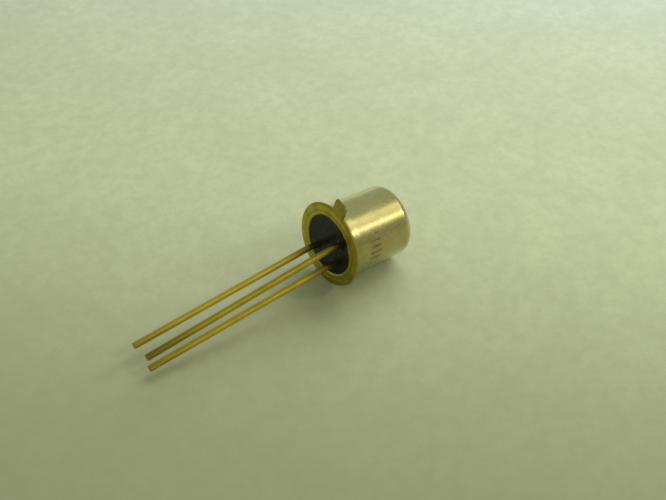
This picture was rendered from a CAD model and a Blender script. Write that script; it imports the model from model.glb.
"""Dresses a small metal-can transistor that lies on its side on a pale sheet of paper."""

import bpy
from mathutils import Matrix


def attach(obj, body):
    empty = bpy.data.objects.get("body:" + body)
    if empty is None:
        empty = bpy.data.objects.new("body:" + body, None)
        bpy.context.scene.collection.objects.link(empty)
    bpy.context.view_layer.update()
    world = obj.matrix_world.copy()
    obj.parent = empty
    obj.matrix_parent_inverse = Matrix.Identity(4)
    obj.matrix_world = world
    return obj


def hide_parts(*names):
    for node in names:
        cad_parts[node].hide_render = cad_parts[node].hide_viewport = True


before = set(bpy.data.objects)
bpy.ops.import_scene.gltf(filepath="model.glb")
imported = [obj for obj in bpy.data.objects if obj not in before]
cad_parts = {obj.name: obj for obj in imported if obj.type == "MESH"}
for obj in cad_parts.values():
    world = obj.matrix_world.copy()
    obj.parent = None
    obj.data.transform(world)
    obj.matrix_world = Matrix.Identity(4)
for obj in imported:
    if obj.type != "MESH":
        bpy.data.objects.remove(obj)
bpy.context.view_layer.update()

import logging
import math
from collections.abc import Callable, Iterable, Sequence
from dataclasses import dataclass
from enum import Enum
from functools import cache
from typing import NamedTuple

import bmesh
import bpy
from bmesh.types import BMEdge, BMesh, BMFace, BMVert
from bpy.types import Material, Node, NodeSocket, NodeTree, Object
from mathutils import Euler, Matrix, Vector, noise

LOG = logging.getLogger("transistor")
Triple = tuple[float, float, float]
Color = Triple

MM = 0.001
NEAR = 1e-4
MERGE = 1e-5

# Sizes in millimetres that several pieces or finishes share.
CAN_R = 2.325
FLANGE_R = 2.77
GROOVE_R = 2.27
BORE_R = 1.95
MOUTH_R = 0.16
SLEEVE_R = 0.5
LEAD_R = 0.205
PLATFORM_Z = 1.25


class Slot(Enum):
    """Material slots of the record that new pieces take."""

    NICKEL = "cap_nickel"
    HEADER = "header_gold"
    LEAD = "lead_gold"
    GLASS = "seal_glass"


class Carve(Enum):
    """What a tool mesh does to a piece."""

    JOIN = "UNION"
    CUT = "DIFFERENCE"


@dataclass(frozen=True)
class RestingPose:
    """How the can's own millimetre frame lies in the row frame.

    In the can's frame Z runs from the seating plane to the closed top, and X points at the floor.
    """

    tilt_deg: float = 5.65157
    lift_mm: float = 2.767903
    shift_mm: float = 4.108403

    @property
    def rotation(self) -> Euler:
        """Turn that lays the can's axis down along +X."""
        return Euler((0.0, math.radians(90.0 + self.tilt_deg), 0.0))

    @property
    def place(self) -> Vector:
        """Seating-plane centre in the row frame, in metres."""
        return Vector((self.shift_mm, 0.0, self.lift_mm)) * MM

    def to_row(self) -> Matrix:
        """Matrix from the can's millimetres to the row frame's metres."""
        return Matrix.LocRotScale(self.place, self.rotation, Vector((MM, MM, MM)))


@dataclass(frozen=True)
class LeadPath:
    """One lead's centre line in the can's frame, in millimetres and degrees."""

    pin_deg: float
    top: float
    length: float
    bend_deg: float
    turn_deg: float
    drop: float = 0.45
    bend_r: float = 1.5
    circle_r: float = 1.27

    @property
    def foot(self) -> Vector:
        """The lead's place on the pin circle."""
        a = math.radians(self.pin_deg)
        return Vector((self.circle_r * math.cos(a), self.circle_r * math.sin(a), 0.0))

    @property
    def run(self) -> float:
        """Length of the straight exposed run."""
        return self.length - self.drop - self.bend_r * math.radians(self.bend_deg)

    @property
    def side(self) -> Vector:
        """Direction that the lead is bent towards."""
        t = math.radians(self.turn_deg)
        return Vector((math.cos(t), math.sin(t), 0.0))

    def bend_centre(self) -> Vector:
        """Centre of the bend."""
        return self.foot + self.side * self.bend_r + Vector((0.0, 0.0, -self.drop))

    def direction(self) -> Vector:
        """Direction of the exposed run, from the bend to the cut end."""
        return self.bent() @ Vector((0.0, 0.0, -1.0))

    def bent(self, part: float = 1.0) -> Matrix:
        """Turn of the bend, or of a part of it."""
        axis = Vector((-self.side.y, self.side.x, 0.0))
        return Matrix.Rotation(math.radians(-self.bend_deg * part), 3, axis)

    def run_start(self) -> Vector:
        """Place where the bend ends and the straight run starts."""
        arm = self.foot + Vector((0.0, 0.0, -self.drop)) - self.bend_centre()
        return self.bend_centre() + self.bent() @ arm


POSE = RestingPose()
TAB_DEG = 192.3
PATHS = {
    "source_lead": LeadPath(TAB_DEG + 45.0, top=1.8, length=13.55, bend_deg=12.05, turn_deg=9.6),
    "drain_lead": LeadPath(TAB_DEG + 135.0, top=1.8, length=13.1, bend_deg=11.7, turn_deg=13.6),
    "gate_lead": LeadPath(TAB_DEG + 225.0, top=0.97, length=13.1, bend_deg=11.7, turn_deg=13.6),
}
POSTS = ("source_lead", "drain_lead")


# ---- mesh helpers


def on_ring(vert: BMVert, r: float, z: float) -> bool:
    """Whether a vertex lies on the ring of radius r at height z."""
    return abs(math.hypot(vert.co.x, vert.co.y) - r) < NEAR and abs(vert.co.z - z) < NEAR


def bevel(bm: BMesh, edges: Iterable[BMEdge], radius: float, segments: int) -> None:
    """Rounds edges.

    Args:
        bm: Mesh to change.
        edges: Edges to round.
        radius: Rounding radius in millimetres.
        segments: Faces across the rounding.
    """
    bmesh.ops.bevel(bm, geom=list(edges), offset=radius, offset_type="OFFSET", segments=segments,
                    profile=0.5, affect="EDGES", material=-1)


def round_rings(bm: BMesh, *rings: tuple[float, float, float, int]) -> None:
    """Rounds rings of a turned mesh one after the other.

    Args:
        bm: Mesh to change, in the can's frame.
        *rings: Each ring's radius and height, its rounding radius, and the faces across that.
    """
    for r, z, radius, segments in rings:
        ring = [e for e in bm.edges if all(on_ring(v, r, z) for v in e.verts)]
        bevel(bm, ring, radius, segments)


def spin(bm: BMesh, steps: int) -> None:
    """Turns all of a mesh once round Z, merges its doubles and turns its faces outwards.

    Args:
        bm: Mesh of the section.
        steps: Steps round the full turn.
    """
    bmesh.ops.spin(bm, geom=bm.verts[:] + bm.edges[:], cent=(0, 0, 0), axis=(0, 0, 1),
                   angle=math.tau, steps=steps, use_merge=True, use_duplicate=False)
    bmesh.ops.remove_doubles(bm, verts=bm.verts, dist=MERGE)
    bmesh.ops.recalc_face_normals(bm, faces=bm.faces)


def lathe(points: Sequence[tuple[float, float]], steps: int) -> BMesh:
    """Turns a half section about Z.

    Args:
        points: Section corners as (radius, height), from axis to axis.
        steps: Steps round the full turn.

    Returns:
        A closed mesh with merged poles and outward faces.
    """
    bm = bmesh.new()
    verts = [bm.verts.new((r, 0.0, z)) for r, z in points]
    for pair in zip(verts, verts[1:]):
        bm.edges.new(pair)
    spin(bm, steps)
    return bm


def rod_mesh(radius: float, bottom: float, top: float, place: Vector, segments: int = 48) -> BMesh:
    """Makes an upright round rod.

    Args:
        radius: Rod radius in millimetres.
        bottom: Height of its lower end.
        top: Height of its upper end.
        place: Its place across the axis.
        segments: Faces round it.

    Returns:
        The rod's mesh.
    """
    bm = bmesh.new()
    bmesh.ops.create_cone(bm, cap_ends=True, segments=segments, radius1=radius, radius2=radius,
                          depth=top - bottom)
    bmesh.ops.translate(bm, vec=(place.x, place.y, (top + bottom) / 2), verts=bm.verts)
    return bm


def write_mesh(bm: BMesh, mesh: bpy.types.Mesh, sharp_deg: float) -> None:
    """Shades a mesh smooth between its sharp edges, writes it out and frees it.

    Args:
        bm: Mesh to write.
        mesh: Where it goes.
        sharp_deg: Edges bent by more than this are shaded sharp.
    """
    for face in bm.faces:
        face.smooth = True
    for edge in bm.edges:
        edge.smooth = not (len(edge.link_faces) == 2
                           and edge.calc_face_angle(0.0) > math.radians(sharp_deg))
    bm.to_mesh(mesh)
    bm.free()


def link(name: str, data: bpy.types.ID) -> Object:
    """Makes an object of mesh, light or camera data and links it to the scene.

    Args:
        name: Object name.
        data: Its data.

    Returns:
        The object, at the origin of the row frame.
    """
    made = bpy.data.objects.new(name, data)
    bpy.context.scene.collection.objects.link(made)
    return made


def to_object(bm: BMesh, name: str, sharp_deg: float = 40.0) -> Object:
    """Turns a can-frame mesh into an object at the origin of the row frame.

    Args:
        bm: Mesh in the can's frame. It is freed.
        name: Piece name.
        sharp_deg: Edges bent by more than this are shaded sharp.

    Returns:
        The linked object, with its place in its mesh.
    """
    bm.transform(POSE.to_row())
    mesh = bpy.data.meshes.new(name)
    write_mesh(bm, mesh, sharp_deg)
    return link(name, mesh)


def carve(piece: Object, tool_mesh: BMesh, how: Carve, sharp_deg: float = 40.0) -> None:
    """Joins a tool mesh to a piece, or cuts it out.

    Args:
        piece: Piece to change.
        tool_mesh: Mesh in the can's frame that is joined or cut out. It is freed.
        how: Whether it is joined or cut out.
        sharp_deg: Edges bent by more than this are shaded sharp.
    """
    tool = to_object(tool_mesh, "carving_tool")
    modifier = piece.modifiers.new("carve", "BOOLEAN")
    modifier.operation = how.value
    modifier.solver = "EXACT"
    modifier.object = tool
    evaluated = piece.evaluated_get(bpy.context.evaluated_depsgraph_get())
    mesh = bpy.data.meshes.new_from_object(evaluated)
    piece.modifiers.remove(modifier)
    old, mesh.name = piece.data, piece.data.name
    piece.data = mesh
    bpy.data.meshes.remove(old)
    bpy.data.objects.remove(tool, do_unlink=True)
    bm = bmesh.new()
    bm.from_mesh(mesh)
    bmesh.ops.dissolve_degenerate(bm, dist=1e-8, edges=bm.edges)
    write_mesh(bm, mesh, sharp_deg)


def drop_slivers(piece: Object, sharp_deg: float) -> None:
    """Cuts the faces into triangles and removes those that lie back to back.

    Args:
        piece: Carved piece.
        sharp_deg: Edges bent by more than this are shaded sharp.
    """
    bm = bmesh.new()
    bm.from_mesh(piece.data)
    bmesh.ops.triangulate(bm, faces=bm.faces)
    same: dict[frozenset[BMVert], list[BMFace]] = {}
    for face in bm.faces:
        same.setdefault(frozenset(face.verts), []).append(face)
    doubled = [face for faces in same.values() if len(faces) > 1 for face in faces]
    bmesh.ops.delete(bm, geom=doubled, context="FACES")
    write_mesh(bm, piece.data, sharp_deg)
    LOG.info("%s: %d slivers removed", piece.name, len(doubled))


def settle(piece: Object, slot: Slot, names: Sequence[str], *materials: Material) -> None:
    """Gives a piece its materials, its record slot and its body.

    Args:
        piece: Finished object.
        slot: Record slot of its finish.
        names: CAD nodes that it stands for.
        *materials: Its materials, in the order of the faces' indices.
    """
    for material in materials:
        piece.data.materials.append(material)
    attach(piece, "root")
    if names:
        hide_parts(*names)
    faces = len(piece.data.polygons)
    LOG.info("%s: %d faces, stands for %s", piece.name, faces, names or "nothing")


# ---- shader helpers


class Fade(NamedTuple):
    """A smooth change from to_low at low and below to to_high at high and above."""

    low: float
    high: float
    to_low: float = 0.0
    to_high: float = 1.0


class Graph:
    """Builds one node tree: a material's or a group's."""

    def __init__(self, tree: NodeTree) -> None:
        """Keeps the tree."""
        self.tree = tree

    def node(self, kind: str, **values: object) -> Node:
        """Adds a node and sets its properties and sockets.

        Args:
            kind: Node type name.
            **values: Property names, or in_ and a socket name or number, with their values. A
                socket value may be another socket, which is then linked.

        Returns:
            The node.
        """
        made = self.tree.nodes.new(kind)
        for key, value in values.items():
            if not key.startswith("in_"):
                setattr(made, key, value)
        for key, value in values.items():
            if key.startswith("in_"):
                label = key[3:].replace("_", " ")
                self.feed(made.inputs[int(label) if label.isdigit() else label], value)
        return made

    def feed(self, socket: NodeSocket, value: object) -> None:
        """Links a socket to another, or sets its value.

        Args:
            socket: Input socket.
            value: Output socket, number, vector or colour.
        """
        if isinstance(value, NodeSocket):
            self.tree.links.new(value, socket)
        elif isinstance(value, tuple) and len(value) == 3 and socket.type == "RGBA":
            socket.default_value = (*value, 1.0)
        else:
            socket.default_value = value

    def math(self, how: str, a: object, b: object = 0.0, clamp: bool = False) -> NodeSocket:
        """Adds a Math node and returns its output."""
        made = self.node("ShaderNodeMath", operation=how, use_clamp=clamp, in_0=a, in_1=b)
        return made.outputs[0]

    def times(self, a: object, b: object, clamp: bool = False) -> NodeSocket:
        """Multiplies two values."""
        return self.math("MULTIPLY", a, b, clamp)

    def plus(self, a: object, b: object, clamp: bool = False) -> NodeSocket:
        """Adds two values."""
        return self.math("ADD", a, b, clamp)

    def minus(self, a: object, b: object) -> NodeSocket:
        """Takes b from a."""
        return self.math("SUBTRACT", a, b)

    def larger(self, a: object, b: object) -> NodeSocket:
        """The larger of two values."""
        return self.math("MAXIMUM", a, b)

    def far(self, a: object, b: object) -> NodeSocket:
        """Length of the vector (a, b)."""
        return self.math("SQRT", self.plus(self.times(a, a), self.times(b, b)))

    def shares(self, first: tuple[object, float], *rest: tuple[object, float]) -> NodeSocket:
        """Sum of values, each times its own share."""
        scaled = self.times(*first)
        return self.plus(scaled, self.shares(*rest)) if rest else scaled

    def ramp(self, value: object, fade: Fade) -> NodeSocket:
        """Maps a value through a fade."""
        return self.node("ShaderNodeMapRange", interpolation_type="SMOOTHSTEP", in_Value=value,
                         in_From_Min=fade.low, in_From_Max=fade.high, in_To_Min=fade.to_low,
                         in_To_Max=fade.to_high).outputs["Result"]

    def mix(self, mask: object, a: object, b: object, how: str = "MIX") -> NodeSocket:
        """Mixes two colours: a where the mask is 0, b where it is 1."""
        return self.node("ShaderNodeMix", data_type="RGBA", blend_type=how, clamp_factor=True,
                         in_0=mask, in_6=a, in_7=b).outputs[2]

    def noise(self, where: object, scale: object, detail: float, rough: float) -> NodeSocket:
        """Adds a noise texture and returns its value."""
        return self.node("ShaderNodeTexNoise", in_Vector=where, in_Scale=scale, in_Detail=detail,
                         in_Roughness=rough).outputs["Fac"]

    def stretch(self, where: object, by: object) -> NodeSocket:
        """Multiplies a place by a factor on each axis."""
        made = self.node("ShaderNodeVectorMath", operation="MULTIPLY", in_0=where, in_1=by)
        return made.outputs[0]


FLOAT, VECTOR, COLOR = "NodeSocketFloat", "NodeSocketVector", "NodeSocketColor"


class Group(Graph):
    """A shader node group under way."""

    def __init__(self, name: str, takes: dict[str, str], gives: dict[str, str]) -> None:
        """Starts the group.

        Args:
            name: Group name.
            takes: Input names with their socket types.
            gives: Output names with their socket types.
        """
        super().__init__(bpy.data.node_groups.new(name, "ShaderNodeTree"))
        for way, sockets in (("INPUT", takes), ("OUTPUT", gives)):
            for label, kind in sockets.items():
                self.tree.interface.new_socket(name=label, in_out=way, socket_type=kind)
        self.given = self.node("NodeGroupInput").outputs
        self.results = self.node("NodeGroupOutput").inputs

    def done(self, **values: object) -> NodeTree:
        """Feeds the group's outputs.

        Args:
            **values: Output names with what feeds them.

        Returns:
            The group's tree.
        """
        for label, value in values.items():
            self.feed(self.results[label], value)
        return self.tree


# ---- effects that several finishes share: each is one node group, in the can's millimetres


@cache
def can_frame() -> NodeTree:
    """Object coordinates brought into the can's frame, in millimetres, with polar values.

    Turned holds the distance along a turned outline, then X and Y, so its rings have no seam.

    Returns:
        The group's tree.
    """
    g = Group("can_frame", {}, {"Place": VECTOR, "Radius": FLOAT, "Angle": FLOAT,
                                "Height": FLOAT, "Turned": VECTOR})
    where = g.node("ShaderNodeTexCoord").outputs["Object"]
    place = g.node("ShaderNodeMapping", vector_type="TEXTURE", in_Vector=where,
                   in_Location=tuple(POSE.place), in_Rotation=tuple(POSE.rotation),
                   in_Scale=(MM, MM, MM)).outputs[0]
    x, y, z = g.node("ShaderNodeSeparateXYZ", in_Vector=place).outputs
    radius = g.far(x, y)
    turned = g.node("ShaderNodeCombineXYZ", in_X=g.plus(radius, z), in_Y=x, in_Z=y).outputs[0]
    return g.done(Place=place, Radius=radius, Angle=g.math("ARCTAN2", y, x), Height=z,
                  Turned=turned)


@cache
def tarnish() -> NodeTree:
    """Clouded colour: patches of a second tone and small dark specks.

    Returns:
        The group's tree.
    """
    g = Group("tarnish", {"Place": VECTOR, "Clean": COLOR, "Aged": COLOR, "Patch Size": FLOAT,
                          "Amount": FLOAT, "Specks": FLOAT}, {"Color": COLOR})
    place, size = g.given["Place"], g.given["Patch Size"]
    broad = g.noise(place, size, detail=4.0, rough=0.6)
    fine = g.noise(place, g.times(size, 7.0), detail=3.0, rough=0.6)
    cloud = g.shares((broad, 0.7), (fine, 0.3))
    mask = g.times(g.ramp(cloud, Fade(0.42, 0.66)), g.given["Amount"], clamp=True)
    cells = g.node("ShaderNodeTexVoronoi", in_Vector=place, in_Scale=2.3, in_Randomness=1.0)
    chance = g.node("ShaderNodeSeparateColor", in_Color=cells.outputs["Color"]).outputs[0]
    speck_size = g.larger(g.minus(chance, 0.45), 0.001)
    away = g.math("DIVIDE", cells.outputs["Distance"], speck_size)
    speck = g.times(g.ramp(away, Fade(0.07, 0.28, 1.0, 0.0)), g.given["Specks"], clamp=True)
    base = g.mix(mask, g.given["Clean"], g.given["Aged"])
    return g.done(Color=g.mix(speck, base, (0.05, 0.04, 0.02)))


@cache
def draw_lines() -> NodeTree:
    """Fine parallel lines from drawing: noise stretched along them, as a height.

    Returns:
        The group's tree.
    """
    g = Group("draw_lines", {"Place": VECTOR, "Stretch": VECTOR}, {"Height": FLOAT})
    place = g.stretch(g.given["Place"], g.given["Stretch"])
    fine = g.noise(place, 1.0, detail=4.0, rough=0.65)
    broad = g.noise(place, 0.3, detail=2.0, rough=0.5)
    return g.done(Height=g.shares((fine, 0.65), (broad, 0.35)))


@cache
def handling() -> NodeTree:
    """Rubbed and dulled places as a roughness.

    Returns:
        The group's tree.
    """
    g = Group("handling", {"Place": VECTOR, "Smooth": FLOAT, "Dull": FLOAT}, {"Roughness": FLOAT})
    smear = g.noise(g.given["Place"], 0.9, detail=5.0, rough=0.62)
    grit = g.noise(g.given["Place"], 9.0, detail=2.0, rough=0.5)
    spread = g.node("ShaderNodeMapRange", in_Value=g.shares((smear, 0.75), (grit, 0.25)),
                    in_From_Min=0.35, in_From_Max=0.65, in_To_Min=g.given["Smooth"],
                    in_To_Max=g.given["Dull"])
    return g.done(Roughness=spread.outputs["Result"])


@cache
def hairlines() -> NodeTree:
    """Scattered fine scratches in three directions as a mask.

    Returns:
        The group's tree.
    """
    g = Group("hairlines", {"Place": VECTOR, "Cover": FLOAT}, {"Mask": FLOAT})
    place = g.given["Place"]
    found: object = 0.0
    for turn in ((0.4, 0.2, 0.9), (1.1, 0.7, 2.2), (0.1, 1.3, 0.2)):
        slant = g.node("ShaderNodeMapping", in_Vector=place, in_Rotation=turn,
                       in_Scale=(46.0, 2.2, 2.2)).outputs[0]
        line = g.ramp(g.noise(slant, 1.0, detail=1.5, rough=0.5), Fade(0.60, 0.68))
        found = g.larger(found, line)
    patch = g.ramp(g.noise(place, 1.1, detail=2.0, rough=0.5), Fade(0.40, 0.58))
    return g.done(Mask=g.times(g.times(found, patch), g.given["Cover"], clamp=True))


# ---- materials under way


@dataclass(frozen=True)
class Stain:
    """Clouds of a second tone, and small dark specks."""

    aged: Color
    patch_size: float
    amount: float
    specks: float


@dataclass(frozen=True)
class Wear:
    """Roughness of the smooth places and of the rubbed, dulled ones."""

    smooth: float
    dull: float


class Coat(Graph):
    """A material under way, with one Principled shader."""

    def __init__(self, name: str, shown: Color) -> None:
        """Starts the material.

        Args:
            name: Material name.
            shown: Colour for the solid view.
        """
        self.material = bpy.data.materials.new(name)
        self.material.use_nodes = True
        self.material.diffuse_color = (*shown, 1.0)
        super().__init__(self.material.node_tree)
        self.shader = next(n for n in self.tree.nodes if n.type == "BSDF_PRINCIPLED")

    def shade(self, **values: object) -> None:
        """Sets or links the shader's sockets, whose names have _ for a space."""
        for label, value in values.items():
            self.feed(self.shader.inputs[label.replace("_", " ")], value)

    def emboss(self, height: NodeSocket, strength: float, depth_mm: float) -> None:
        """Turns a height into the shader's normal through a Bump node."""
        self.shade(Normal=self.node("ShaderNodeBump", in_Strength=strength, in_Height=height,
                                    in_Distance=depth_mm * MM).outputs[0])


class PartCoat(Coat):
    """A material of the part, which has the can's own frame and the shared effects."""

    def __init__(self, name: str, shown: Color) -> None:
        """Starts the material.

        Args:
            name: Material name.
            shown: Colour for the solid view.
        """
        super().__init__(name, shown)
        can = self.effect(can_frame())
        self.place, self.radius, self.angle, self.height, self.turned = can.outputs

    def effect(self, tree: NodeTree, **values: object) -> Node:
        """Places a shared group with its own values."""
        return self.node("ShaderNodeGroup", node_tree=tree, **values)

    def stained(self, clean: Color, stain: Stain, where: NodeSocket) -> NodeSocket:
        """Colour of a stained surface."""
        return self.effect(tarnish(), in_Place=where, in_Clean=clean, in_Aged=stain.aged,
                           in_Patch_Size=stain.patch_size, in_Amount=stain.amount,
                           in_Specks=stain.specks).outputs["Color"]

    def rubbed(self, wear: Wear, where: NodeSocket) -> NodeSocket:
        """Roughness of a handled surface."""
        return self.effect(handling(), in_Place=where, in_Smooth=wear.smooth,
                           in_Dull=wear.dull).outputs["Roughness"]

    def lined(self, where: NodeSocket, stretch: Triple) -> NodeSocket:
        """Height of drawing lines."""
        return self.effect(draw_lines(), in_Place=where, in_Stretch=stretch).outputs["Height"]

    def scratched(self, cover: float) -> NodeSocket:
        """Mask of hairline scratches."""
        return self.effect(hairlines(), in_Place=self.place, in_Cover=cover).outputs["Mask"]


# ---- finishes


@dataclass(frozen=True)
class PartFinish:
    """What the part's finishes have in common."""

    title: str
    clean: Color
    wear: Wear

    def build(self) -> Material:
        """Builds the material.

        Returns:
            The material.
        """
        coat = PartCoat(self.title, self.clean)
        self.dress(coat)
        return coat.material

    def dress(self, coat: PartCoat) -> None:
        """Leaves a plain, handled surface; each finish adds its own colour and relief."""
        coat.shade(Roughness=coat.rubbed(self.wear, coat.place))


@dataclass(frozen=True)
class PlainMetalFinish(PartFinish):
    """Clouded bare metal or plating without relief."""

    stain: Stain

    def dress(self, coat: PartCoat) -> None:
        """Dresses the metal."""
        super().dress(coat)
        coat.shade(Base_Color=coat.stained(self.clean, self.stain, coat.place), Metallic=1.0)


@dataclass(frozen=True)
class CutEndFinish(PlainMetalFinish):
    """Bare grey-brown alloy where a lead was cut."""

    title: str = "cut_alloy"
    clean: Color = (0.36, 0.31, 0.21)
    wear: Wear = Wear(0.35, 0.55)
    stain: Stain = Stain((0.25, 0.19, 0.09), patch_size=6.0, amount=0.8, specks=0.2)


@dataclass(frozen=True)
class BondGoldFinish(PlainMetalFinish):
    """Bright gold of the bond wires and the chip's solder."""

    title: str = "bond_gold"
    clean: Color = (0.88, 0.66, 0.24)
    wear: Wear = Wear(0.18, 0.3)
    stain: Stain = Stain((0.6, 0.42, 0.13), patch_size=5.0, amount=0.4, specks=0.0)


@dataclass(frozen=True)
class NickelFinish(PartFinish):
    """Satin drawn nickel with rubbed ink bars and handling marks."""

    title: str = "satin_nickel"
    clean: Color = (0.78, 0.73, 0.42)
    wear: Wear = Wear(0.21, 0.32)
    stain: Stain = Stain((0.54, 0.45, 0.20), patch_size=0.75, amount=0.38, specks=0.55)
    brown: Color = (0.40, 0.33, 0.13)
    bared: Color = (0.86, 0.82, 0.62)
    ink: Color = (0.11, 0.085, 0.035)
    scratch_cover: float = 0.6
    scratch_shine: float = 0.6
    scratch_depth: float = 0.3
    around_stretch: Triple = (13.0, 0.4, 0.4)
    along_stretch: Triple = (9.0, 9.0, 0.6)
    base_fade: Fade = Fade(0.25, 0.95, 0.35, 0.0)
    side_deg: float = -112.0
    side_fade: Fade = Fade(0.55, 0.93, 0.0, 0.85)
    side_end_fade: Fade = Fade(4.3, 4.9, 1.0, 0.35)
    edge_height_fade: Fade = Fade(4.73, 4.83)
    edge_radius_fade: Fade = Fade(CAN_R - 0.42, CAN_R - 0.27, 0.0, 0.6)
    smudge_deg: float = -100.0
    smudge_z: float = 1.3
    smudge_squash: float = 1.5
    smudge_fade: Fade = Fade(0.5, 1.9, 1.0, 0.0)
    smudge_clouds: Fade = Fade(0.38, 0.62)
    smudge_amount: float = 0.9
    ink_low: float = 1.55
    ink_high: float = 2.4
    ink_angles: tuple[float, ...] = (-124.0, -114.0, -104.0, -94.0, -84.0)
    ink_half_width: float = 0.075
    ink_soft: float = 0.05
    ink_worn: Fade = Fade(0.36, 0.62, 0.25, 0.8)
    ink_cover: float = 0.75
    ink_roughness: float = 0.25

    def dress(self, coat: PartCoat) -> None:
        """Dresses the can.

        Args:
            coat: The material under way.
        """
        arc = coat.times(coat.angle, CAN_R)
        worn = coat.larger(coat.ramp(coat.height, self.base_fade), self._dulled(coat))
        tone = coat.mix(worn, coat.stained(self.clean, self.stain, coat.place), self.brown)
        tone = coat.mix(self._smudge(coat, arc), tone, self.brown)
        ink = self._ink_mask(coat, arc)
        scratch = coat.scratched(self.scratch_cover)
        tone = coat.mix(ink, tone, self.ink)
        rough = coat.plus(coat.rubbed(self.wear, coat.place), coat.times(ink, self.ink_roughness),
                          clamp=True)
        coat.shade(Base_Color=coat.mix(coat.times(scratch, self.scratch_shine), tone, self.bared),
                   Metallic=coat.minus(1.0, coat.times(ink, self.ink_cover)), Roughness=rough)
        around = coat.lined(coat.turned, self.around_stretch)
        along = coat.lined(coat.place, self.along_stretch)
        skin = coat.noise(coat.place, 9.0, detail=3.0, rough=0.6)
        height = coat.shares((around, 0.6), (along, 0.3), (skin, 0.1))
        coat.emboss(coat.minus(height, coat.times(scratch, self.scratch_depth)), strength=0.09,
                    depth_mm=0.01)

    def _dulled(self, coat: PartCoat) -> NodeSocket:
        """A browner side of the wall, and a thin brown line on the rounded edge.

        Args:
            coat: The material under way.

        Returns:
            The brown tone's cover, from 0 to 1.
        """
        swing = coat.minus(coat.angle, math.radians(self.side_deg))
        side = coat.ramp(coat.math("COSINE", swing), self.side_fade)
        edge = coat.times(coat.ramp(coat.height, self.edge_height_fade),
                          coat.ramp(coat.radius, self.edge_radius_fade))
        return coat.larger(coat.times(side, coat.ramp(coat.height, self.side_end_fade)), edge)

    def _smudge(self, coat: PartCoat, arc: NodeSocket) -> NodeSocket:
        """A brown, finger-worn patch between the brim and the ink bars.

        Args:
            coat: The material under way.
            arc: Distance round the can, in millimetres.

        Returns:
            The patch's cover, from 0 to 1.
        """
        off_arc = coat.minus(arc, math.radians(self.smudge_deg) * CAN_R)
        off_height = coat.times(coat.minus(coat.height, self.smudge_z), self.smudge_squash)
        cloud = coat.ramp(coat.noise(coat.place, 1.9, detail=5.0, rough=0.65), self.smudge_clouds)
        patch = coat.ramp(coat.far(off_arc, off_height), self.smudge_fade)
        return coat.times(coat.times(patch, cloud), self.smudge_amount, clamp=True)

    def _ink_mask(self, coat: PartCoat, arc: NodeSocket) -> NodeSocket:
        """A row of short, rubbed ink bars round the can.

        Args:
            coat: The material under way.
            arc: Distance round the can, in millimetres.

        Returns:
            The ink's cover, from 0 to 1.
        """
        soft, half = self.ink_soft, self.ink_half_width
        starts = coat.ramp(coat.height, Fade(self.ink_low - soft, self.ink_low + soft))
        stops = coat.ramp(coat.height, Fade(self.ink_high - soft, self.ink_high + soft, 1.0, 0.0))
        bars: object = 0.0
        for angle in self.ink_angles:
            off = coat.math("ABSOLUTE", coat.minus(arc, math.radians(angle) * CAN_R))
            bars = coat.larger(bars, coat.ramp(off, Fade(half - soft, half + soft, 1.0, 0.0)))
        worn = coat.ramp(coat.noise(coat.place, 1.5, detail=2.5, rough=0.6), self.ink_worn)
        return coat.times(coat.times(coat.times(starts, stops), bars), worn, clamp=True)


@dataclass(frozen=True)
class HeaderGoldFinish(PartFinish):
    """Dull gold plating on the stamped header, darker at its rim and in its groove."""

    title: str = "header_gold_plate"
    clean: Color = (0.515, 0.425, 0.058)
    wear: Wear = Wear(0.30, 0.46)
    stain: Stain = Stain((0.20, 0.155, 0.024), patch_size=1.1, amount=0.6, specks=0.35)
    bared: Color = (0.70, 0.60, 0.16)
    rim_fade: Fade = Fade(FLANGE_R - 0.22, FLANGE_R - 0.02, 0.0, 0.45)
    groove_fade: Fade = Fade(0.02, 0.09, 0.5, 0.0)
    scratch_cover: float = 0.35
    stretch: Triple = (18.0, 0.6, 0.6)

    def dress(self, coat: PartCoat) -> None:
        """Dresses the header.

        Args:
            coat: The material under way.
        """
        super().dress(coat)
        rim = coat.ramp(coat.radius, self.rim_fade)
        tone = coat.mix(rim, coat.stained(self.clean, self.stain, coat.place), self.stain.aged)
        off_groove = coat.math("ABSOLUTE", coat.minus(coat.radius, GROOVE_R))
        tone = coat.mix(coat.ramp(off_groove, self.groove_fade), tone, self.stain.aged)
        coat.shade(Base_Color=coat.mix(coat.scratched(self.scratch_cover), tone, self.bared),
                   Metallic=1.0)
        skin = coat.noise(coat.place, 16.0, detail=3.0, rough=0.6)
        lines = coat.lined(coat.turned, self.stretch)
        coat.emboss(coat.shares((lines, 0.5), (skin, 0.5)), strength=0.3, depth_mm=0.014)


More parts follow.
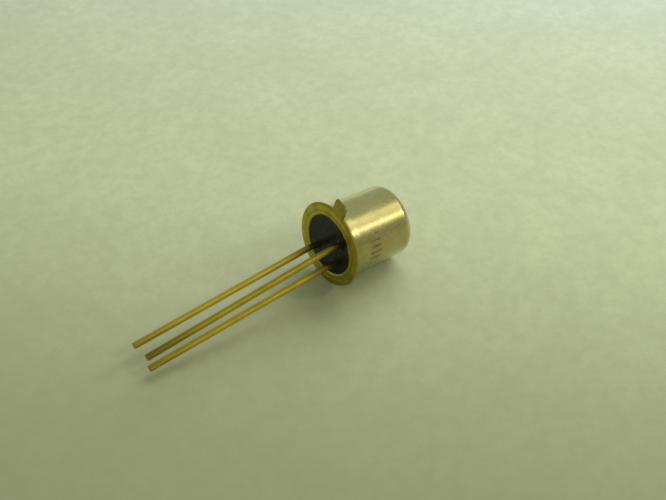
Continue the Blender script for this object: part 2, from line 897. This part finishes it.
@dataclass(frozen=True)
class LeadGoldFinish:
    """Yellow gold plating on one drawn wire, with lines along the wire."""

    clean: Color
    amount: float
    tip_amount: float
    wear: Wear = Wear(0.28, 0.42)
    aged: Color = (0.36, 0.26, 0.035)
    patch_size: float = 1.3
    specks: float = 0.25
    root: Color = (0.15, 0.10, 0.03)
    root_fade: Fade = Fade(-2.7, -0.4, 0.0, 0.75)
    tip: Color = (0.20, 0.15, 0.025)
    tip_end: float = -12.6
    tip_start: float = -8.0
    squeeze: Triple = (2.0, 2.0, 0.5)
    stretch: Triple = (13.0, 13.0, 0.7)

    def build(self, name: str, path: LeadPath) -> Material:
        """Builds the material of one lead.

        Args:
            name: The lead's name.
            path: Its centre line.

        Returns:
            The material.
        """
        coat = PartCoat(f"{name}_gold", self.clean)
        turn = Vector((0.0, 0.0, -1.0)).rotation_difference(path.direction()).to_euler()
        local = coat.node("ShaderNodeMapping", vector_type="TEXTURE", in_Vector=coat.place,
                          in_Location=tuple(path.run_start()), in_Rotation=tuple(turn)).outputs[0]
        squeezed = coat.stretch(local, self.squeeze)
        stain = Stain(self.aged, self.patch_size, self.amount, self.specks)
        tip_fade = Fade(self.tip_end, self.tip_start, self.tip_amount, 0.0)
        tone = coat.stained(self.clean, stain, squeezed)
        tone = coat.mix(coat.ramp(coat.height, tip_fade), tone, self.tip)
        coat.shade(Base_Color=coat.mix(coat.ramp(coat.height, self.root_fade), tone, self.root),
                   Metallic=1.0, Roughness=coat.rubbed(self.wear, squeezed))
        coat.emboss(coat.lined(local, self.stretch), strength=0.22, depth_mm=0.006)
        return coat.material


@dataclass(frozen=True)
class BlackGlassFinish(PartFinish):
    """Glossy black sealing glass with fine bubbles."""

    title: str = "black_seal_glass"
    clean: Color = (0.006, 0.0055, 0.007)
    wear: Wear = Wear(0.22, 0.42)
    cloudy: Color = (0.016, 0.013, 0.019)
    cloud_fade: Fade = Fade(0.4, 0.7)
    bubble_fade: Fade = Fade(0.04, 0.13)
    bubble_share: float = 0.25

    def dress(self, coat: PartCoat) -> None:
        """Dresses the glass.

        Args:
            coat: The material under way.
        """
        super().dress(coat)
        cloud = coat.ramp(coat.noise(coat.place, 1.4, detail=4.0, rough=0.6), self.cloud_fade)
        coat.shade(Base_Color=coat.mix(cloud, self.clean, self.cloudy), IOR=1.45,
                   Specular_IOR_Level=0.22)
        cells = coat.node("ShaderNodeTexVoronoi", in_Vector=coat.place, in_Scale=4.2)
        bubbles = coat.ramp(cells.outputs["Distance"], self.bubble_fade)
        swell = coat.noise(coat.place, 1.8, detail=2.0, rough=0.5)
        height = coat.plus(coat.times(bubbles, self.bubble_share), swell)
        coat.emboss(height, strength=0.5, depth_mm=0.05)


@dataclass(frozen=True)
class SiliconFinish(PartFinish):
    """Dark silicon with a faintly coloured passivated top."""

    title: str = "silicon_chip"
    clean: Color = (0.10, 0.10, 0.13)
    wear: Wear = Wear(0.12, 0.2)
    sheen: Color = (0.16, 0.12, 0.22)
    band_fade: Fade = Fade(0.4, 0.6)

    def dress(self, coat: PartCoat) -> None:
        """Dresses the chip.

        Args:
            coat: The material under way.
        """
        super().dress(coat)
        bands = coat.ramp(coat.noise(coat.place, 3.0, detail=2.0, rough=0.5), self.band_fade)
        coat.shade(Base_Color=coat.mix(bands, self.clean, self.sheen), Metallic=0.6)


@dataclass(frozen=True)
class PaperFinish:
    """Off-white paper with a faint fibre texture, cooler on one side and dimmer on the other."""

    color: Color = (0.635, 0.68, 0.485)
    cloud_fade: Fade = Fade(0.3, 0.7)
    cloud_tone: float = 0.93
    grain_fade: Fade = Fade(0.36, 0.64, 0.0, 0.5)
    grain_tone: float = 0.8
    brighter_towards: Triple = (0.72, 0.69, 0.0)
    cool: Color = (0.96, 1.0, 1.27)
    cool_fade: Fade = Fade(0.006, 0.06)
    dimmed: Color = (0.286, 0.306, 0.184)
    dim_fade: Fade = Fade(-0.016, 0.014, 0.72, 0.0)
    fleck: Color = (0.28, 0.28, 0.16)
    fleck_fade: Fade = Fade(0.66, 0.74, 0.0, 0.22)

    def toned(self, factor: float) -> Color:
        """The paper's colour times a factor."""
        return tuple(c * factor for c in self.color)

    def build(self) -> Material:
        """Builds the paper.

        Returns:
            The material.
        """
        coat = Coat("pale_paper", self.color)
        where = coat.node("ShaderNodeTexCoord").outputs["Object"]
        cloud = coat.ramp(coat.noise(where, 190.0, detail=5.0, rough=0.6), self.cloud_fade)
        tone = coat.mix(cloud, self.color, self.toned(self.cloud_tone))
        grain = coat.ramp(coat.noise(where, 950.0, detail=5.0, rough=0.75), self.grain_fade)
        tone = coat.mix(grain, tone, self.toned(self.grain_tone))
        way = coat.node("ShaderNodeVectorMath", operation="DOT_PRODUCT", in_0=where,
                        in_1=self.brighter_towards).outputs["Value"]
        tone = coat.mix(coat.ramp(way, self.cool_fade), tone, self.cool, "MULTIPLY")
        tone = coat.mix(coat.ramp(way, self.dim_fade), tone, self.dimmed)
        flecks = coat.ramp(coat.noise(where, 2600.0, detail=2.0, rough=0.7), self.fleck_fade)
        coat.shade(Base_Color=coat.mix(flecks, tone, self.fleck), Roughness=0.9,
                   Specular_IOR_Level=0.2)
        fibre = coat.noise(where, 1600.0, detail=4.0, rough=0.65)
        coat.emboss(fibre, strength=0.25, depth_mm=0.05)
        return coat.material


# ---- sub-assemblies


@dataclass
class DrawnCan:
    """The drawn nickel can with its weld brim."""

    radius: float = CAN_R
    height: float = 5.04
    wall: float = 0.16
    flat_r: float = 1.1
    edge_r: float = 0.45
    brim_r: float = 2.58
    brim_t: float = 0.16
    brim_top_edge: float = 0.05
    brim_low_edge: float = 0.04
    seat: float = 0.22
    fillet: float = 0.14
    base_swell: float = 0.018
    swell_start: float = 0.3
    swell_end: float = 0.98
    swell_fade: float = 0.12
    steps: int = 192

    def mesh(self) -> BMesh:
        """Turns the can's section, swells its base a little and rounds its corners.

        Returns:
            The can in its own frame.
        """
        r, inner, ceiling = self.radius, self.radius - self.wall, self.height - self.wall
        brim_top = self.seat + self.brim_t
        swell_start = brim_top + self.swell_start
        bm = lathe([(0.0, self.height), (self.flat_r, self.height), (r, self.height),
                    (r, self.swell_end + self.swell_fade), (r, self.swell_end), (r, swell_start),
                    (r, brim_top), (self.brim_r, brim_top), (self.brim_r, self.seat),
                    (inner, self.seat), (inner, ceiling), (0.0, ceiling)], self.steps)
        round_rings(bm, (r, self.height, self.edge_r, 10),
                    (inner, ceiling, self.edge_r - self.wall, 6),
                    (self.brim_r, brim_top, self.brim_top_edge, 3),
                    (self.brim_r, self.seat, self.brim_low_edge, 3))
        for vert in bm.verts:
            if on_ring(vert, r, self.swell_end) or on_ring(vert, r, swell_start):
                vert.co.xy *= 1.0 + self.base_swell / r
        round_rings(bm, (r, brim_top, self.fillet, 6))
        return bm

    def build(self) -> None:
        """Builds and dresses the can."""
        settle(to_object(self.mesh(), "drawn_can"), Slot.NICKEL, ["cap"], NickelFinish().build())


@dataclass
class Header:
    """The stamped header: flange, index tab, eyelet and chip platform."""

    flange_r: float = FLANGE_R
    flange_t: float = 0.22
    flange_top_share: float = 0.45
    flange_low_share: float = 0.54
    eyelet_r: float = 2.12
    eyelet_edge: float = 0.12
    platform_t: float = 0.28
    tab_w: float = 0.95
    tab_reach: float = 0.89
    tab_overlap: float = 0.15
    tab_corner: float = 0.07
    tab_edge: float = 0.035
    groove_w: float = 0.1
    groove_d: float = 0.04
    groove_bottom: float = 0.05
    groove_edge: float = 0.045
    hole_margin: float = 0.1
    steps: int = 192

    @property
    def under(self) -> float:
        """Height of the platform's underside."""
        return PLATFORM_Z - self.platform_t

    def mesh(self) -> BMesh:
        """Turns the header's section and rounds its corners.

        Returns:
            The header without its tab and holes, in the can's frame.
        """
        out, inside = GROOVE_R + self.groove_w, GROOVE_R - self.groove_w
        bm = lathe([(0.0, PLATFORM_Z), (self.eyelet_r, PLATFORM_Z), (self.eyelet_r, self.flange_t),
                    (self.flange_r, self.flange_t), (self.flange_r, 0.0), (out, 0.0),
                    (GROOVE_R, self.groove_d), (inside, 0.0), (BORE_R, 0.0), (BORE_R, self.under),
                    (0.0, self.under)], self.steps)
        round_rings(bm, (GROOVE_R, self.groove_d, self.groove_bottom, 4),
                    (inside, 0.0, self.groove_edge, 4),
                    (out, 0.0, self.groove_edge, 4),
                    (self.flange_r, self.flange_t, self.flange_t * self.flange_top_share, 6),
                    (self.flange_r, 0.0, self.flange_t * self.flange_low_share, 7),
                    (BORE_R, 0.0, MOUTH_R, 8),
                    (self.eyelet_r, PLATFORM_Z, self.eyelet_edge, 5))
        return bm

    def tab(self) -> BMesh:
        """Makes the index tab, turned to its place.

        Returns:
            The tab in the can's frame.
        """
        inner = self.eyelet_r + self.tab_overlap
        outer = self.flange_r + self.tab_reach
        bm = bmesh.new()
        bmesh.ops.create_cube(bm, size=1.0)
        bmesh.ops.scale(bm, vec=(outer - inner, self.tab_w, self.flange_t), verts=bm.verts)
        bmesh.ops.translate(bm, vec=((outer + inner) / 2, 0.0, self.flange_t / 2), verts=bm.verts)
        corners = [e for e in bm.edges if all(v.co.x > outer - NEAR for v in e.verts)
                   and abs(e.verts[0].co.z - e.verts[1].co.z) > self.flange_t / 2]
        bevel(bm, corners, self.tab_corner, 4)
        rims = [e for e in bm.edges if abs(e.verts[0].co.z - e.verts[1].co.z) < MERGE
                and not all(v.co.x < inner + NEAR for v in e.verts)
                and len(e.link_faces) == 2 and e.calc_face_angle(0.0) > 1.0]
        bevel(bm, rims, self.tab_edge, 3)
        bmesh.ops.rotate(bm, cent=(0, 0, 0), matrix=Matrix.Rotation(math.radians(TAB_DEG), 3, "Z"),
                         verts=bm.verts)
        return bm

    def build(self) -> None:
        """Builds and dresses the header."""
        piece = to_object(self.mesh(), "stamped_header")
        carve(piece, self.tab(), Carve.JOIN)
        for name in POSTS:
            hole = rod_mesh(SLEEVE_R, self.under - self.hole_margin, PLATFORM_Z + self.hole_margin,
                            PATHS[name].foot)
            carve(piece, hole, Carve.CUT)
        settle(piece, Slot.HEADER, ["header_shell"], HeaderGoldFinish().build())


@dataclass
class GlassSeal:
    """The black glass: a dished face that climbs the leads and the eyelet's wall."""

    face: float = 0.1
    top: float = 0.97
    lip_heights: tuple[float, ...] = (0.16, 0.14, 0.12)
    climb: float = 0.1
    reach: float = 0.08
    edge_climb: float = 0.02
    edge_reach: float = 0.07
    dish: float = 0.015
    ripple: float = 0.006
    ripple_scale: float = 1.6
    ripple_layer: float = 3.0
    sleeve_sink: float = 0.3
    bore_margin: float = 0.2
    sharp_deg: float = 60.0
    rod_segments: int = 64
    steps: int = 200
    rings: int = 56

    def mesh(self) -> BMesh:
        """Turns the glass body with a finely divided face.

        Returns:
            The glass without its sleeves and bores, in the can's frame.
        """
        mouth = [(self.lip(z), z) for z in self.lip_heights]
        rim = self.lip(self.face)
        across = [(rim * (1 - k / self.rings), self.face) for k in range(self.rings + 1)]
        bm = lathe([(0.0, self.top), (BORE_R, self.top), *mouth, *across], self.steps)
        for vert in bm.verts:
            if abs(vert.co.z - self.face) < MERGE:
                vert.co.z -= self.rise(vert.co.to_2d())
        return bm

    def lip(self, z: float) -> float:
        """Radius of the eyelet's rounded mouth at height z."""
        return BORE_R + MOUTH_R - math.sqrt(MOUTH_R ** 2 - (MOUTH_R - z) ** 2)

    def rise(self, at: Vector) -> float:
        """How far the glass stands out of its face at a place.

        Args:
            at: Place on the face.

        Returns:
            Height in millimetres, towards the leads' free ends.
        """
        near = min((at - path.foot.to_2d()).length for path in PATHS.values()) - LEAD_R
        meniscus = self.climb * math.exp(-max(near, 0.0) / self.reach)
        edge = self.edge_climb * math.exp(-(BORE_R - at.length) / self.edge_reach)
        dish = self.dish * (at.length / BORE_R) ** 2
        wave = noise.noise(Vector((at.x, at.y, self.ripple_layer)) * self.ripple_scale)
        return meniscus + edge + dish + self.ripple * wave

    def build(self) -> None:
        """Builds and dresses the glass."""
        piece = to_object(self.mesh(), "glass_fill", self.sharp_deg)
        for name in POSTS:
            sleeve = rod_mesh(SLEEVE_R, self.top - self.sleeve_sink, PLATFORM_Z, PATHS[name].foot,
                              self.rod_segments)
            carve(piece, sleeve, Carve.JOIN, self.sharp_deg)
        for path in PATHS.values():
            bore = rod_mesh(LEAD_R, -self.bore_margin, PLATFORM_Z + self.bore_margin, path.foot,
                            self.rod_segments)
            carve(piece, bore, Carve.CUT, self.sharp_deg)
        drop_slivers(piece, self.sharp_deg)
        settle(piece, Slot.GLASS, ["glass_seal"], BlackGlassFinish().build())


@dataclass
class WireLead:
    """One plated lead with a gentle bend and a sheared end."""

    name: str
    finish: LeadGoldFinish
    cut: Material
    radius: float = LEAD_R
    segments: int = 48
    post_steps: int = 4
    bend_steps: int = 12
    run_steps: int = 40
    burr: float = 0.018
    top_edge: float = 0.03
    plating: float = 0.03
    core_depth: float = 0.006
    shear_deg: float = 5.0
    sharp_deg: float = 35.0

    @property
    def path(self) -> LeadPath:
        """The lead's centre line."""
        return PATHS[self.name]

    def mesh(self) -> BMesh:
        """Draws a ring along the lead's centre line and closes both ends.

        Returns:
            The lead in the can's frame, with index 1 on the bare core of its cut end.
        """
        bm = bmesh.new()
        bmesh.ops.create_circle(bm, cap_ends=False, segments=self.segments, radius=self.radius)
        start = self.path.foot + Vector((0, 0, self.path.top))
        bmesh.ops.translate(bm, vec=start, verts=bm.verts)
        first, path, way = bm.edges[:], self.path, self.path.direction()
        down = Vector((0, 0, -(path.top + path.drop) / self.post_steps))
        turn, along = path.bent(1.0 / self.bend_steps), way * (path.run / self.run_steps)
        last = self._sweep(bm, first, self.post_steps, bmesh.ops.translate, vec=down)
        last = self._sweep(bm, last, self.bend_steps, bmesh.ops.rotate, cent=path.bend_centre(),
                           matrix=turn)
        last = self._sweep(bm, last, self.run_steps, bmesh.ops.translate, vec=along)
        end_verts = list(dict.fromkeys(v for e in last for v in e.verts))
        top = bmesh.ops.edgeloop_fill(bm, edges=first)["faces"]
        end = bmesh.ops.edgeloop_fill(bm, edges=last)["faces"]
        bmesh.ops.recalc_face_normals(bm, faces=bm.faces)
        self._shear(end_verts, way)
        for face in end:
            face.material_index = 1
        inset = bmesh.ops.inset_individual(bm, faces=end, thickness=self.plating,
                                           depth=-self.core_depth)
        for face in inset["faces"]:
            face.material_index = 0
        bevel(bm, [e for e in bm.edges if set(e.verts) <= set(end_verts)], self.burr, 3)
        bevel(bm, [e for f in top for e in f.edges], self.top_edge, 3)
        return bm

    @staticmethod
    def _sweep(bm: BMesh, edges: list[BMEdge], times: int, move: Callable[..., object],
               **values: object) -> list[BMEdge]:
        """Extrudes a ring in equal steps.

        Args:
            bm: Mesh to change.
            edges: The ring.
            times: Number of steps.
            move: Operator that brings each new ring to its place.
            **values: What the operator is given.

        Returns:
            The last ring's edges.
        """
        for _ in range(times):
            made = bmesh.ops.extrude_edge_only(bm, edges=edges)["geom"]
            verts = {g for g in made if isinstance(g, BMVert)}
            edges = [g for g in made if isinstance(g, BMEdge) and set(g.verts) <= verts]
            move(bm, verts=list(verts), **values)
        return edges

    def _shear(self, verts: Sequence[BMVert], way: Vector) -> None:
        """Slants the cut end a little, inwards only.

        Args:
            verts: Vertices of the end's ring.
            way: Direction of the exposed run.
        """
        side = way.orthogonal().normalized()
        middle = sum((v.co for v in verts), Vector()) / len(verts)
        slope = math.tan(math.radians(self.shear_deg))
        for vert in verts:
            vert.co -= way * (((vert.co - middle).dot(side) + self.radius) * slope)

    def build(self) -> None:
        """Builds and dresses the lead."""
        piece = to_object(self.mesh(), f"wire_{self.name}", self.sharp_deg)
        plated = self.finish.build(self.name, self.path)
        settle(piece, Slot.LEAD, [self.name], plated, self.cut)


@dataclass
class ChipSet:
    """The hidden chip, its solder and its bond wires: the CAD solids, with their own finishes."""

    chip: str = "die"
    golden: tuple[str, ...] = ("die_attach", "source_bond_wire", "drain_bond_wire")

    def build(self) -> None:
        """Dresses the carried-over solids."""
        finishes = dict.fromkeys(self.golden, BondGoldFinish().build())
        finishes[self.chip] = SiliconFinish().build()
        for name, material in finishes.items():
            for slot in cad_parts[name].material_slots:
                slot.material = material
            LOG.info("%s keeps its solid, with %s", name, material.name)


@dataclass
class WeldBead:
    """The thin bead that the resistance weld squeezed out between brim and flange."""

    ring_r: float = 2.585
    height: float = 0.235
    bead_r: float = 0.032
    segments: int = 10
    steps: int = 240
    unevenness: float = 0.45
    lump_scale: float = 3.0
    finish: HeaderGoldFinish = HeaderGoldFinish(
        clean=(0.40, 0.35, 0.19), rim_fade=Fade(0.0, 1.0, 0.0, 0.0),
        stain=Stain((0.20, 0.16, 0.07), patch_size=1.1, amount=0.6, specks=0.35))

    def mesh(self) -> BMesh:
        """Turns a small circle about the axis and makes it a little uneven.

        Returns:
            The bead in the can's frame.
        """
        bm = bmesh.new()
        bmesh.ops.create_circle(bm, cap_ends=False, segments=self.segments, radius=self.bead_r)
        upright = Matrix.Rotation(math.pi / 2, 3, "X")
        bmesh.ops.rotate(bm, cent=(0, 0, 0), matrix=upright, verts=bm.verts)
        bmesh.ops.translate(bm, vec=(self.ring_r, 0, self.height), verts=bm.verts)
        spin(bm, self.steps)
        for vert in bm.verts:
            centre = vert.co.to_2d().normalized().to_3d() * self.ring_r
            centre += Vector((0, 0, self.height))
            swell = 1.0 + self.unevenness * noise.noise(vert.co * self.lump_scale)
            vert.co = centre + (vert.co - centre) * swell
        return bm

    def build(self) -> None:
        """Builds and dresses the bead."""
        settle(to_object(self.mesh(), "weld_bead"), Slot.HEADER, [], self.finish.build())


# ---- stage


@dataclass(frozen=True)
class Lamp:
    """A soft panel lamp that faces the part. Its place and sides are in metres."""

    name: str
    place: Triple
    sides: tuple[float, float]
    watts: float
    tint: Color
    mirrored: bool = True
    aim: Triple = (0.003, 0.0, 0.002)

    def build(self) -> None:
        """Hangs the lamp; shiny pieces show its reflection where it is mirrored."""
        light = bpy.data.lights.new(self.name, "AREA")
        light.shape = "RECTANGLE"
        light.size, light.size_y = self.sides
        light.energy = self.watts
        light.color = self.tint
        lamp = link(self.name, light)
        lamp.location = self.place
        lamp.visible_glossy = self.mirrored
        way = Vector(self.aim) - Vector(self.place)
        lamp.rotation_euler = way.to_track_quat("-Z", "Y").to_euler()


@dataclass
class Stage:
    """The paper, the lamps, the sky and the camera."""

    camera_mm: Triple = (-24.226, -36.523, 44.278)
    look: Triple = (0.458, 0.582, -0.672)
    lens: float = 54.05
    paper_size: float = 0.6
    paper_cells: int = 8
    sky: Color = (0.95, 1.0, 0.70)
    sky_strength: float = 0.36
    lamps: tuple[Lamp, ...] = (
        Lamp("window", (0.097, 0.041, 0.090), (0.12, 0.10), 0.122, (0.98, 1.0, 0.96), False),
        Lamp("desk_lamp", (0.165, -0.145, 0.150), (0.034, 0.034), 0.080, (1.0, 0.98, 0.80)),
        Lamp("side_lamp", (0.050, -0.170, 0.190), (0.07, 0.07), 0.014, (1.0, 0.98, 0.82)),
        Lamp("ceiling", (0.20, -0.07, 0.23), (0.13, 0.13), 0.070, (1.0, 0.96, 0.66)),
    )

    def build(self) -> None:
        """Makes the whole stage."""
        self._paper()
        self._sky()
        for lamp in self.lamps:
            lamp.build()
        self._camera()

    def _paper(self) -> None:
        """Lays a flat sheet at the height of the part's feet."""
        bm = bmesh.new()
        bmesh.ops.create_grid(bm, x_segments=self.paper_cells, y_segments=self.paper_cells,
                              size=self.paper_size / 2)
        mesh = bpy.data.meshes.new("paper")
        bm.to_mesh(mesh)
        bm.free()
        sheet = link("paper", mesh)
        mesh.materials.append(PaperFinish().build())

    def _sky(self) -> None:
        """Makes an even, soft surround."""
        world = bpy.data.worlds.new("studio")
        world.use_nodes = True
        bpy.context.scene.world = world
        back = next(n for n in world.node_tree.nodes if n.type == "BACKGROUND")
        back.inputs["Color"].default_value = (*self.sky, 1.0)
        back.inputs["Strength"].default_value = self.sky_strength

    def _camera(self) -> None:
        """Places the camera above and in front of the leads."""
        data = bpy.data.cameras.new("camera")
        data.lens = self.lens
        data.sensor_width = 36.0
        data.clip_start, data.clip_end = 0.002, 5.0
        camera = link("camera", data)
        camera.location = Vector(self.camera_mm) * MM
        camera.rotation_euler = Vector(self.look).to_track_quat("-Z", "Y").to_euler()
        bpy.context.scene.camera = camera


def main() -> None:
    """Builds every piece in order."""
    logging.basicConfig(level=logging.INFO, format="%(name)s: %(message)s")
    bpy.context.scene.view_settings.view_transform = "Standard"
    Header().build()
    GlassSeal().build()
    cut = CutEndFinish().build()
    golds = {
        "source_lead": LeadGoldFinish((0.60, 0.45, 0.065), amount=0.7, tip_amount=0.65),
        "drain_lead": LeadGoldFinish((0.72, 0.54, 0.075), amount=0.5, tip_amount=0.3),
        "gate_lead": LeadGoldFinish((0.78, 0.59, 0.09), amount=0.35, tip_amount=0.3),
    }
    for name, gold in golds.items():
        WireLead(name, gold, cut).build()
    ChipSet().build()
    DrawnCan().build()
    WeldBead().build()
    Stage().build()


if __name__ == "__main__":
    main()
